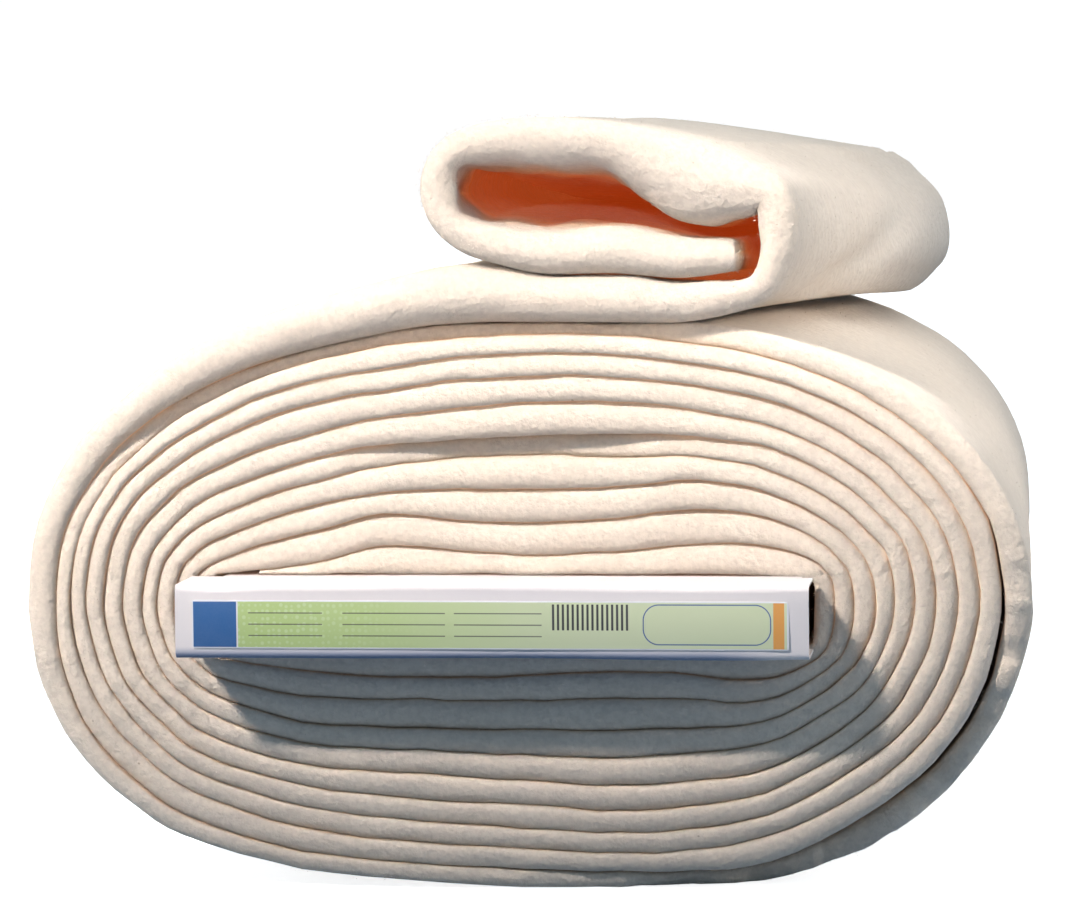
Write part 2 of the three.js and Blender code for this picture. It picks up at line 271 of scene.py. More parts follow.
def looseStations(before):
    rows = [{"x": s["centre"][0], "z": s["centre"][1], "thick": s["thick"], "shiftX": 0, "shiftZ": 0,
             "hollow": 0, "plump": 0} for s in before] + looseRun
    end = rows[-1]
    stations = []
    for i in range(1, len(rows) - 1):
        for step in range(batting["looseSteps"]):
            t = step / batting["looseSteps"]
            four = [rows[i - 1], rows[i], rows[i + 1], rows[min(i + 2, len(rows) - 1)]]
            value = {key: smooth(*(row[key] for row in four), t) for key in four[0] if key != "at"}
            stations.append({"centre": np.array((value["x"], value["z"])), "thick": value["thick"],
                             "shift": np.array((value["shiftX"], value["shiftZ"])),
                             "hollow": min(1, max(0, value["hollow"])), "plump": max(0, value["plump"])})
    run = np.array((end["x"], end["z"])) - stations[-1]["centre"]
    run = run / np.linalg.norm(run)
    for on, share in batting["cutRound"]:
        stations.append({"centre": np.array((end["x"], end["z"])) + run * on, "thick": end["thick"] * share,
                         "shift": np.array((end["shiftX"], end["shiftZ"]), float),
                         "hollow": 1, "plump": end["plump"]})
    return stations[1:]


def battingStations():
    wound = woundStations()
    loose = looseStations([wound[-1 - batting["stepsPerSection"]], wound[-1]])
    for i, station in enumerate(loose):
        before = loose[i - 1]["centre"] if i else wound[-1]["centre"]
        after = loose[min(i + 1, len(loose) - 1)]["centre"]
        run = (after - before) / np.linalg.norm(after - before)
        station["across"] = np.array((-run[1], run[0]))
        station["place"] = len(winding) * batting["turns"] + i / batting["looseSteps"]
        station["free"] = ease(0, 2 * batting["looseSteps"], i)
        station["outside"] = True
    return wound + loose


def foldedEdge(power):  # a rounded edge, from side -1 to 1, and how far in it lies, in depths
    for k in range(batting["edgeSteps"] + 1):
        turnBy = math.pi * (k / batting["edgeSteps"] - 0.5)
        side = math.copysign(abs(math.sin(turnBy)) ** power, math.sin(turnBy))
        yield side, 1 - abs(math.cos(turnBy)) ** power


def alongFace(run):  # shares of a face's length, closer together near its ends
    even = [k / run for k in range(1, run)]
    return [0.6 * t + 0.4 * (0.5 - 0.5 * math.cos(math.pi * t)) for t in even]


def edgeRing(station, travelled):  # the sheet's outline across its width: side, place along Y, kind
    run = batting["lengthSteps"] if station["place"] >= batting["outerFrom"] else batting["innerSteps"]
    cx, cz = station["centre"]
    folds = tuckAt(station["place"], "folds")
    stray = swell(cx, travelled, cz, 75, 3.1) + 0.6 * swell(cx, travelled, cz, 23, 7.7)
    stray *= batting["wander"]
    stray += folds * (4.5 * swell(cx, travelled, cz, 19, 5.2) + 4.0 * swell(cx, travelled, cz, 9, 9.4))
    share = batting["edgeDepth"] + (batting["looseDepth"] - batting["edgeDepth"]) * station["free"]
    depth = max(2.4, station["thick"] * share)
    lean = batting["lean"] * (1 - station["free"])
    power = 2 / (batting["squareness"] - 0.3 * station["free"])
    near = batting["near"] + 1.2 + max(stray, -0.9) + tuckAt(station["place"], "back")
    far = batting["far"] - 0.6 - abs(stray)
    flat = far - near - 2 * depth
    edge = list(foldedEdge(power))
    ring = [(side, near + depth * inward + lean * (side + 1) / 2, "edge") for side, inward in edge]
    ring += [(1, near + depth + lean + (flat - lean) * t, "face") for t in alongFace(run)]
    ring += [(-side, far - depth * inward, "edge") for side, inward in edge]
    ring += [(-1, far - depth - flat * t, "face") for t in alongFace(run)]
    return ring, near, far


def paintedShadeAt(station, side, y, near, far, kind):  # the two painted shades, in the grooves between turns and inside the loop
    inward = min(y - near, far - y)
    if station["free"] > 0.5:
        facing = station["hollow"]
        if side <= 0:  # the inner layer's underside, over the loose end's first run
            facing = 0.6 * ease(*batting["undersideFrom"], station["place"])
        x = station["centre"][0]
        rightward = 0.74 + 0.26 * ease(*batting["weakShadeUntil"], x)
        starts = 6 + 20 * (1 - ease(*batting["lateUntil"], x))  # how far in the painted shade begins
        return 0, facing * rightward * ease(starts, 58, inward) * ease(-0.1, 0.7, abs(side))
    if station["outside"] and side > 0:
        return 0, 0
    beside = tuckAt(station["place"] + math.copysign(len(winding), side), "back")
    if kind == "face":  # where the turn beside it lies further in, this face is open to the light
        return ease(-2, 20, inward - beside), 0
    return 0.25 * ease(0.95, 1.0, abs(side)) * (1 - ease(0, 8, beside)), 0


def joinRings(first, firstRun, second, secondRun):  # faces between rings, with few or many steps a side
    edge = batting["edgeSteps"]
    total = [2 * edge + 2 * run for run in (firstRun, secondRun)]
    if firstRun == secondRun:
        after = [(k + 1) % total[0] for k in range(total[0])]
        return [(first + k, first + then, second + then, second + k) for k, then in enumerate(after)]
    faces = []
    i = j = 0
    for firstSteps, secondSteps in ((edge, edge), (firstRun, secondRun)) * 2:
        a = b = 0
        while a < firstSteps or b < secondSteps:
            here, there = first + (i + a) % total[0], second + (j + b) % total[1]
            if b >= secondSteps or (a < firstSteps and (a + 1) / firstSteps <= (b + 1) / secondSteps):
                faces.append((here, first + (i + a + 1) % total[0], there))
                a += 1
            else:
                faces.append((here, second + (j + b + 1) % total[1], there))
                b += 1
        i, j = i + firstSteps, j + secondSteps
    return faces


def meshPiece(name, verts, faces, tints):  # a piece with a value at each point for each tint
    mesh = bpy.data.meshes.new(name)
    mesh.from_pydata(verts, [], faces)
    for tint, values in tints.items():
        mesh.attributes.new(tint, "FLOAT", "POINT").data.foreach_set("value", values)
    piece = bpy.data.objects.new(name, mesh)
    bpy.context.scene.collection.objects.link(piece)
    return piece


def sheetMesh(name):
    stations = battingStations()
    loopSide, fold = batting["loopSide"], batting["fold"]
    travelled = 0
    verts, grooveShading, hollowShading, creased, along, faces, rings = [], [], [], [], [], [], []
    inView = {"edge": [], "face": []}  # the points in view, where fibres may stand
    for i, station in enumerate(stations):
        if i:
            travelled += float(np.linalg.norm(station["centre"] - stations[i - 1]["centre"]))
        cx, cz = station["centre"]
        ring, near, far = edgeRing(station, travelled)
        folds = tuckAt(station["place"], "folds")
        rings.append((len(verts), (len(ring) - 2 * batting["edgeSteps"]) // 2))
        for side, y, kind in ring:
            share = min(1, max(0, (y - batting["near"]) / (batting["far"] - batting["near"])))
            ends = min(1, 8 * min(share, 1 - share) + 0.25)
            offset = side * station["thick"] / 2
            if station["outside"] and side > 0 or station["free"]:
                offset += batting["waves"] * side * swell(cx, y / 2.6, cz, 60, 1.3) * ends
            if side > 0:
                bulge = math.sin(math.pi * share) ** 0.7
                offset += station["plump"] * bulge * side
                offset += station["hollow"] * side * batting["lumps"] * swell(cx, y, cz, 14, 4.4)
            if folds and kind == "edge" and share < 0.5:
                offset += folds * 2.6 * swell(cx, y, cz, 10, 2.2) * (1 - abs(side))
            onRight = station["free"] > 0.5 and station["place"] < loopSide["before"]
            if onRight and side < 0 and cx > loopSide["from"] and loopSide["low"] < cz < loopSide["high"]:
                away = cz - fold["z"] - fold["slope"] * (share - fold["start"])
                offset += fold["rise"] * math.exp(-(away / fold["width"]) ** 2) * ease(0.1, 0.3, share)
                offset -= fold["drop"] * ease(0, 14, -away) * ease(0.3, 0.5, share)
            point = station["centre"] + station["shift"] * share + station["across"] * offset
            outer = station["outside"] and station["place"] > batting["outerFrom"]
            if outer or (kind == "edge" and abs(side) < 0.97):
                inView[kind].append(len(verts))
            verts.append((point[0] * mm, y * mm, max(point[1], batting["floorGap"]) * mm))
            # painted shade for the grooves and the loop's hollow, kept at each point
            groove, inside = paintedShadeAt(station, side, y, near, far, kind)
            grooveShading.append(groove)
            hollowShading.append(inside)
            creased.append(folds * (1 - ease(20, 60, y - near)))
            along.append((travelled * mm, y * mm))
        if i:
            faces += joinRings(*rings[i - 1], *rings[i])
    faces.append(tuple(range(2 * batting["edgeSteps"] + 2 * rings[0][1] - 1, -1, -1)))
    faces.append(tuple(range(rings[-1][0], len(verts))))
    piece = meshPiece(name, verts, faces, {"grooveShading": grooveShading, "hollowShading": hollowShading, "creased": creased})
    mesh = piece.data
    uv = mesh.uv_layers.new(name="cloth")
    corner = np.zeros(len(mesh.loops), int)
    mesh.loops.foreach_get("vertex_index", corner)
    uv.data.foreach_set("uv", np.array(along)[corner].ravel())
    mesh.shade_smooth()
    return piece, travelled, inView


cloth, clothLength, shown = sheetMesh("batting")
print("batting wound, run in mm:", round(clothLength), "faces:", len(cloth.data.polygons))
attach(cloth, "root")
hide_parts("batting_roll", "loose_end")

fibres = {
    "count": 16000, "seed": 11,
    "edgeShare": 0.82,  # share of them on the folded edges
    "shortest": 0.9, "longest": 3.6, "radius": 0.12,
    "spread": 4,        # how far aside of its point one may start
    "sunk": 0.4,        # and how deep
    "tint": 0.3,        # none stand where the painted shade is stronger
    "above": 4, "floorGap": 0.3,
}


def fibreMesh(name, base):  # short tapered hairs that stand off the cotton
    chance = random.Random(fibres["seed"])
    verts, faces, grooveShading = [], [], []
    tint = base.data.attributes["grooveShading"].data
    inside = base.data.attributes["hollowShading"].data
    while len(faces) < fibres["count"] * 7:
        index = chance.choice(shown["edge" if chance.random() < fibres["edgeShare"] else "face"])
        root = base.data.vertices[index]
        if max(tint[index].value, inside[index].value) > fibres["tint"] or root.co.z < fibres["above"] * mm:
            continue
        normal = root.normal
        aside = Vector((chance.uniform(-1, 1), chance.uniform(-1, 1), chance.uniform(-1, 1)))
        aside -= normal * aside.dot(normal)
        length = chance.uniform(fibres["shortest"], fibres["longest"]) * mm
        start = root.co + aside * fibres["spread"] * mm - normal * fibres["sunk"] * mm
        middle = start + (normal * 0.55 + aside * 0.5) * length * 0.5
        tip = middle + (normal * 0.12 + aside * 0.75) * length * 0.5
        if min(tip.z, middle.z) < fibres["floorGap"] * mm:
            continue
        one = normal.orthogonal().normalized() * fibres["radius"] * mm
        two = normal.cross(one)
        first = len(verts)
        for centre, wide in ((start, 1), (middle, 0.8)):
            for k in range(3):
                a = 2 * math.pi * k / 3
                verts.append(centre + (one * math.cos(a) + two * math.sin(a)) * wide)
        verts.append(tip)
        for k in range(3):
            a, b = first + k, first + (k + 1) % 3
            faces += [(a, b, b + 3, a + 3), (a + 3, b + 3, first + 6)]
        faces.append((first + 2, first + 1, first))
        grooveShading += [tint[index].value] * 7
    return meshPiece(name, verts, faces, {"grooveShading": grooveShading})


fuzz = fibreMesh("batting_fibres", cloth)
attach(fuzz, "root")
print("fibres laid:", len(fuzz.data.polygons) // 7)


def pick(piece, kind, test):  # leaves edit mode on, with only what passes the test selected
    bpy.ops.object.mode_set(mode="EDIT")
    bpy.ops.mesh.select_mode(type=kind)
    bpy.ops.mesh.select_all(action="DESELECT")
    bpy.ops.object.mode_set(mode="OBJECT")
    mesh = piece.data
    if kind == "FACE":
        for face in mesh.polygons:
            face.select = test(face.center / mm, face.normal)
    elif kind == "EDGE":
        for edge in mesh.edges:
            edge.select = test(*(mesh.vertices[i].co / mm for i in edge.vertices))
    else:
        for vertex in mesh.vertices:
            vertex.select = test(vertex.co / mm)
    bpy.ops.object.mode_set(mode="EDIT")


def startBlock(name, low, high):  # a block between two corners, in millimetres
    bpy.ops.object.select_all(action="DESELECT")
    middle = [(a + b) / 2 * mm for a, b in zip(low, high)]
    bpy.ops.mesh.primitive_cube_add(size=1, location=middle)
    piece = bpy.context.object
    piece.name = name
    piece.scale = [(b - a) * mm for a, b in zip(low, high)]
    bpy.ops.object.transform_apply(location=True, rotation=True, scale=True)
    return piece


wrapper = {
    "left": -162.5, "right": 83.5, "bottom": 96.3, "top": 125.1, "front": -340, "mouth": -307,
    "flapEnd": -215, "flapLeft": -150, "flapRight": 79,
    "card": 1.0,        # thickness
    "fold": 2.6,        # rounding of the two folds
    "cuts": 14,         # stretches that it is cut into, for the dents
    "levels": (104, 111, 118),  # and the heights of the cuts along it
    "dents": [          # where the card is pushed in, how far, and how wide
        {"x": -147, "z": 125.1, "push": (0, 0.9, -1.1), "wide": 16},
        {"x": -60, "z": 125.1, "push": (0, 0.3, 0.5), "wide": 45},
        {"x": 40, "z": 125.1, "push": (0, 0.2, -0.5), "wide": 40},
        {"x": 83.5, "z": 122, "push": (0, -0.9, 0.4), "wide": 16},
        {"x": 83.5, "z": 97, "push": (0, 0.6, 0.3), "wide": 14},
        {"x": -20, "z": 96.3, "push": (0, 0.4, 0.4), "wide": 50},
    ],
}


def cardWrapper(name):
    w = wrapper
    piece = startBlock(name, (w["left"], w["front"], w["bottom"]), (w["right"], w["mouth"], w["top"]))
    pick(piece, "FACE", lambda c, n: n.y > 0.5 or abs(n.x) > 0.5)
    bpy.ops.mesh.delete(type="FACE")  # a channel is left, open behind and at both sides
    front = w["front"]
    pick(piece, "EDGE", lambda a, b: max(abs(a.y - front), abs(b.y - front), abs(a.z - b.z)) < 0.1)
    bpy.ops.mesh.bevel(offset=w["fold"] * mm, segments=6, affect="EDGES")
    span = w["right"] - w["left"]
    cuts = [w["left"] + span * k / w["cuts"] for k in range(1, w["cuts"])] + [w["flapLeft"], w["flapRight"]]
    for x in cuts:
        bpy.ops.mesh.select_all(action="SELECT")
        bpy.ops.mesh.bisect(plane_co=(x * mm, 0, 0), plane_no=(1, 0, 0))
    for z in w["levels"]:
        bpy.ops.mesh.select_all(action="SELECT")
        bpy.ops.mesh.bisect(plane_co=(0, 0, z * mm), plane_no=(0, 0, 1))
    pick(piece, "EDGE", lambda a, b: min(a.y, b.y) > w["mouth"] - 0.1
         and min(a.x, b.x) > w["flapLeft"] - 0.1 and max(a.x, b.x) < w["flapRight"] + 0.1)
    flap = (0, (w["flapEnd"] - w["mouth"]) * mm, 0)
    bpy.ops.mesh.extrude_region_move(TRANSFORM_OT_translate={"value": flap})
    for dent in w["dents"]:
        pick(piece, "VERT", lambda p: abs(p.x - dent["x"]) < 10 and abs(p.z - dent["z"]) < 3
             and p.y < w["mouth"] - 20)
        bpy.ops.transform.translate(value=[v * mm for v in dent["push"]], use_proportional_edit=True,
                                    proportional_edit_falloff="SMOOTH", proportional_size=dent["wide"] * mm)
    bpy.ops.object.mode_set(mode="OBJECT")
    wall = piece.modifiers.new("wall", "SOLIDIFY")
    wall.thickness = w["card"] * mm
    wall.offset = -1
    bpy.ops.object.modifier_apply(modifier=wall.name)
    bpy.ops.object.shade_smooth_by_angle(angle=math.radians(35))
    return piece


cap = cardWrapper("card_wrapper")
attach(cap, "root")
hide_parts("end_cap")
print("card wrapper folded")

sticker = {
    "left": -155.7, "right": 76, "bottom": 100.4, "top": 119.1, "back": -340.05,
    "thick": 0.4, "corner": 0.9, "rim": 0.15, "raised": 0.05,  # its face stands a little over its rim
    "white": (0.86, 0.86, 0.90, 1), "blue": (0.012, 0.125, 0.38, 1), "green": (0.54, 0.70, 0.26, 1),
    "paleGreen": (0.70, 0.77, 0.50, 1), "orange": (0.86, 0.38, 0.07, 1), "ink": (0.02, 0.02, 0.02, 1),
    "line": (0.02, 0.10, 0.33, 1), "leaf": (0.68, 0.82, 0.46, 1),
}


def stickerPlate(name):
    s = sticker
    front = s["back"] - s["thick"]
    piece = startBlock(name, (s["left"], front, s["bottom"]), (s["right"], s["back"], s["top"]))
    pick(piece, "EDGE", lambda a, b: abs(a.y - b.y) > 0.1)
    bpy.ops.mesh.bevel(offset=s["corner"] * mm, segments=3, affect="EDGES")
    pick(piece, "FACE", lambda c, n: n.y < -0.5)
    bpy.ops.mesh.inset(thickness=s["rim"] * mm)
    bpy.ops.transform.translate(value=(0, -s["raised"] * mm, 0))
    bpy.ops.object.mode_set(mode="OBJECT")
    bpy.ops.object.shade_smooth_by_angle(angle=math.radians(30))
    return piece


label = stickerPlate("label_sticker")
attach(label, "root")
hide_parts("label")
print("sticker laid on the card")


def newMaterial(name):  # the material, its tree and its shader
    material = bpy.data.materials.new(name)
    material.use_nodes = True
    tree = material.node_tree
    return material, tree, tree.nodes["Principled BSDF"]


def mathNode(tree, operation, *values):  # numbers or sockets in, one socket out
    node = tree.nodes.new("ShaderNodeMath")
    node.operation = operation
    for slot, value in enumerate(values):
        if isinstance(value, (int, float)):
            node.inputs[slot].default_value = value
        else:
            tree.links.new(value, node.inputs[slot])
    return node.outputs[0]


def times(tree, first, second):
    return mathNode(tree, "MULTIPLY", first, second)


def plus(tree, first, second):
    return mathNode(tree, "ADD", first, second)


def minus(tree, first, second):
    return mathNode(tree, "SUBTRACT", first, second)


def oneLess(tree, value):  # 1 less the value
    return mathNode(tree, "SUBTRACT", 1.0, value)


def mixColor(tree, factor, first, second, blend="MIX"):
    node = tree.nodes.new("ShaderNodeMix")
    node.data_type = "RGBA"
    node.blend_type = blend
    for socket, value in (("Factor", factor), ("A", first), ("B", second)):
        if isinstance(value, (int, float, tuple)):
            node.inputs[socket].default_value = value
        else:
            tree.links.new(value, node.inputs[socket])
    return node.outputs["Result"]


def noiseNode(tree, vector, scale, detail, roughness, stretch=None):
    if stretch:
        mapping = tree.nodes.new("ShaderNodeMapping")
        mapping.inputs["Scale"].default_value = stretch
        tree.links.new(vector, mapping.inputs["Vector"])
        vector = mapping.outputs["Vector"]
    node = tree.nodes.new("ShaderNodeTexNoise")
    node.inputs["Scale"].default_value = scale
    node.inputs["Detail"].default_value = detail
    node.inputs["Roughness"].default_value = roughness
    tree.links.new(vector, node.inputs["Vector"])
    return node.outputs["Fac"]


def rampNode(tree, value, stops):
    node = tree.nodes.new("ShaderNodeValToRGB")
    for k, (place, color) in enumerate(stops):
        stop = node.color_ramp.elements[k] if k < 2 else node.color_ramp.elements.new(place)
        stop.position = place
        stop.color = color
    tree.links.new(value, node.inputs["Fac"])
    return node.outputs["Color"]


def stepNode(tree, value, low, high):  # 0 below low, 1 above high, smooth between
    node = tree.nodes.new("ShaderNodeMapRange")
    node.interpolation_type = "SMOOTHSTEP"
    node.inputs["From Min"].default_value = low
    node.inputs["From Max"].default_value = high
    tree.links.new(value, node.inputs["Value"])
    return node.outputs["Result"]


def attributeOf(tree, name):
    node = tree.nodes.new("ShaderNodeAttribute")
    node.attribute_name = name
    return node.outputs["Fac"]


def axesOf(tree, vector):
    node = tree.nodes.new("ShaderNodeSeparateXYZ")
    tree.links.new(vector, node.inputs[0])
    return node.outputs


def newGroup(name, numbers, results):  # a group that takes a vector and numbers
    group = bpy.data.node_groups.new(name, "ShaderNodeTree")
    group.interface.new_socket("Vector", in_out="INPUT", socket_type="NodeSocketVector")
    for title in numbers:
        group.interface.new_socket(title, in_out="INPUT", socket_type="NodeSocketFloat")
    for title in results:
        group.interface.new_socket(title, in_out="OUTPUT", socket_type="NodeSocketFloat")
    return group, group.nodes.new("NodeGroupInput").outputs, group.nodes.new("NodeGroupOutput").inputs


def paperGrainGroup():  # cloudy tone and fine fibre of paper and card
    group, given, result = newGroup("paperGrain", ("Cloud Size", "Fibre Size"), ("Tone", "Height"))
    cloud = group.nodes.new("ShaderNodeTexNoise")
    cloud.inputs["Detail"].default_value = 5
    fibre = group.nodes.new("ShaderNodeTexNoise")
    fibre.inputs["Detail"].default_value = 3
    fibre.inputs["Distortion"].default_value = 1.2
    for node, size in ((cloud, "Cloud Size"), (fibre, "Fibre Size")):
        group.links.new(given["Vector"], node.inputs["Vector"])
        group.links.new(given[size], node.inputs["Scale"])
    tone = plus(group, times(group, cloud.outputs["Fac"], 0.65), times(group, fibre.outputs["Fac"], 0.35))
    group.links.new(tone, result["Tone"])
    group.links.new(fibre.outputs["Fac"], result["Height"])
    return group


def printedPanelGroup():  # a rounded printed field and its outline, on coordinates in millimetres
    sides = ("Left", "Right", "Bottom", "Top", "Corner", "Line")
    group, given, result = newGroup("printedPanel", sides, ("Inside", "Outline"))
    axes = axesOf(group, given["Vector"])
    over = []
    for axis, low, high in (("X", "Left", "Right"), ("Z", "Bottom", "Top")):
        middle = times(group, plus(group, given[low], given[high]), 0.5)
        half = times(group, minus(group, given[high], given[low]), 0.5)
        away = mathNode(group, "ABSOLUTE", minus(group, axes[axis], middle))
        over.append(plus(group, minus(group, away, half), given["Corner"]))
    clear = [mathNode(group, "MAXIMUM", value, 0.0) for value in over]
    squares = [times(group, value, value) for value in clear]
    outside = mathNode(group, "SQRT", plus(group, *squares))
    inner = mathNode(group, "MINIMUM", mathNode(group, "MAXIMUM", over[0], over[1]), 0.0)
    distance = minus(group, plus(group, outside, inner), given["Corner"])
    group.links.new(stepNode(group, times(group, distance, -1.0), -0.06, 0.06), result["Inside"])
    line = minus(group, given["Line"], mathNode(group, "ABSOLUTE", distance))
    group.links.new(stepNode(group, line, 0.0, 0.12), result["Outline"])
    return group


paperGrain = paperGrainGroup()
printedPanel = printedPanelGroup()


def addGroup(tree, group, vector, **values):
    node = tree.nodes.new("ShaderNodeGroup")
    node.node_tree = group
    tree.links.new(vector, node.inputs["Vector"])
    for name, value in values.items():
        node.inputs[name.replace("_", " ")].default_value = value
    return node


def bumpInto(tree, shader, height, strength, distance):
    bump = tree.nodes.new("ShaderNodeBump")
    bump.inputs["Strength"].default_value = strength
    bump.inputs["Distance"].default_value = distance
    tree.links.new(height, bump.inputs["Height"])
    tree.links.new(bump.outputs["Normal"], shader.inputs["Normal"])


cottonLook = {
    "light": (0.86, 0.75, 0.635, 1), "shade": (0.83, 0.715, 0.60, 1),
    "mottle": (0.75, 0.645, 0.54, 1), "fleck": (0.34, 0.24, 0.15, 1),
    # painted shade: the cotton darker and browner in the grooves and recesses between turns
    "grooveShadeRamp": [(0.0, (1, 1, 1, 1)), (0.25, (0.94, 0.82, 0.69, 1)),
                (0.6, (0.62, 0.46, 0.34, 1)), (1.0, (0.34, 0.22, 0.15, 1))],
    # painted shade: the cotton darker and orange inside the loop's hollow, the colour of light bounced
    # between its layers
    "hollowShadeRamp": [(0.0, (1, 1, 1, 1)), (0.3, (0.95, 0.76, 0.55, 1)),
                   (0.7, (0.80, 0.34, 0.11, 1)), (1.0, (0.66, 0.20, 0.05, 1))],
    # painted light: a glow standing for light that comes through the cotton, inside the loop and at the
    # seams
    "glow": [(0.25, (0, 0, 0, 1)), (0.6, (0.15, 0.045, 0.012, 1)), (1.0, (0.15, 0.024, 0.003, 1))],
    "seamGlow": [(0.04, (0, 0, 0, 1)), (0.22, (0.27, 0.18, 0.115, 1)),
                 (0.45, (0.03, 0.016, 0.009, 1)), (1.0, (0, 0, 0, 1))],
    "seamsFrom": (0.07, 0.19),  # heights between which the seams start to glow, where the light falls
    # patterns: scale, detail and roughness
    "clouds": (26, 3, 0.6), "speckles": (340, 2, 0.6), "flecks": (330, 1, 0.3),
    "lumps": (120, 2, 0.5), "tufts": (420, 3, 0.6), "pleats": (1, 1, 0.4, (80, 16, 1)),
    "pleatHeight": 7.0,
    "bump": (0.8, 0.0022),      # strength and distance
}


def cottonMaterial():
    look = cottonLook
    material, tree, shader = newMaterial("natural_cotton_batting")
    place = tree.nodes.new("ShaderNodeTexCoord").outputs["Object"]
    grooveShading, hollowShading, creased = (attributeOf(tree, name) for name in ("grooveShading", "hollowShading", "creased"))
    clouds = stepNode(tree, noiseNode(tree, place, *look["clouds"]), 0.35, 0.7)
    speckles = stepNode(tree, noiseNode(tree, place, *look["speckles"]), 0.38, 0.66)
    flecks = stepNode(tree, noiseNode(tree, place, *look["flecks"]), 0.80, 0.86)
    tone = mixColor(tree, clouds, look["light"], look["shade"])
    tone = mixColor(tree, times(tree, speckles, 0.75), tone, look["mottle"])
    tone = mixColor(tree, times(tree, flecks, 0.6), tone, look["fleck"])
    # painted shade in the grooves and recesses
    tone = mixColor(tree, 1, tone, rampNode(tree, grooveShading, look["grooveShadeRamp"]), "MULTIPLY")
    # painted shade inside the loop's hollow
    tone = mixColor(tree, 1, tone, rampNode(tree, hollowShading, look["hollowShadeRamp"]), "MULTIPLY")
    tree.links.new(tone, shader.inputs["Base Color"])
    # painted light: the cotton glows at the seams where the lamps light them, and inside the loop
    high = stepNode(tree, axesOf(tree, place)["Z"], *look["seamsFrom"])
    seamGlow = mixColor(tree, high, (0, 0, 0, 1), rampNode(tree, grooveShading, look["seamGlow"]))
    glow = mixColor(tree, 1, rampNode(tree, hollowShading, look["glow"]), seamGlow, "ADD")
    tree.links.new(glow, shader.inputs["Emission Color"])
    shader.inputs["Emission Strength"].default_value = 1
    tufts = times(tree, noiseNode(tree, place, *look["tufts"]), 0.55)
    height = plus(tree, noiseNode(tree, place, *look["lumps"]), tufts)
    run = tree.nodes.new("ShaderNodeUVMap")
    run.uv_map = "cloth"
    pleats = times(tree, creased, noiseNode(tree, run.outputs["UV"], *look["pleats"]))
    height = plus(tree, height, times(tree, pleats, look["pleatHeight"]))
    bumpInto(tree, shader, height, *look["bump"])
    shader.inputs["Roughness"].default_value = 1.0
    shader.inputs["Specular IOR Level"].default_value = 0.05
    shader.inputs["Sheen Weight"].default_value = 0.25
    shader.inputs["Sheen Roughness"].default_value = 0.6
    return material


cardLook = {
    # blue is the colour of a painted reflection along the card's bottom edge
    "white": (0.95, 0.89, 0.875, 1), "shade": (0.86, 0.81, 0.835, 1), "blue": (0.06, 0.15, 0.34, 1),
    "blueReflectionEnds": {"Z": (0.0968, 0.1012), "X": (0.045, 0.078)},  # in metres, where the painted reflection of blue light along the bottom edge fades
    "blueReflectionShare": 0.8, "bump": (0.06, 0.0002),
}


def cardMaterial():
    look = cardLook
    material, tree, shader = newMaterial("white_card")
    place = tree.nodes.new("ShaderNodeTexCoord").outputs["Object"]
    axes = axesOf(tree, place)
    grain = addGroup(tree, paperGrain, place, Cloud_Size=30.0, Fibre_Size=1400.0)
    tone = mixColor(tree, grain.outputs["Tone"], look["white"], look["shade"])
    # painted reflection: blue light along the card's bottom edge, fading towards the right
    low, along = (oneLess(tree, stepNode(tree, axes[axis], *look["blueReflectionEnds"][axis])) for axis in ("Z", "X"))
    blue = times(tree, times(tree, low, along), look["blueReflectionShare"])
    tree.links.new(mixColor(tree, blue, tone, look["blue"]), shader.inputs["Base Color"])
    bumpInto(tree, shader, grain.outputs["Height"], *look["bump"])
    shader.inputs["Roughness"].default_value = 0.62
    return material


boardLook = {
    # gap is painted shade, the dark inside the holes between the waves
    "liner": (0.42, 0.25, 0.13, 1), "shade": (0.28, 0.15, 0.07, 1), "gap": (0.05, 0.022, 0.01, 1),
    "bottom": 97.9,     # where its lowest layer starts
    "layer": 4.3,       # height of one layer of waves
    "flute": 7.5,       # length of one wave
    "waveHeight": 0.34, "wavePaper": 0.12, "linerFrom": 0.40,  # in shares of a layer
    "bump": (0.7, 0.0012),
}


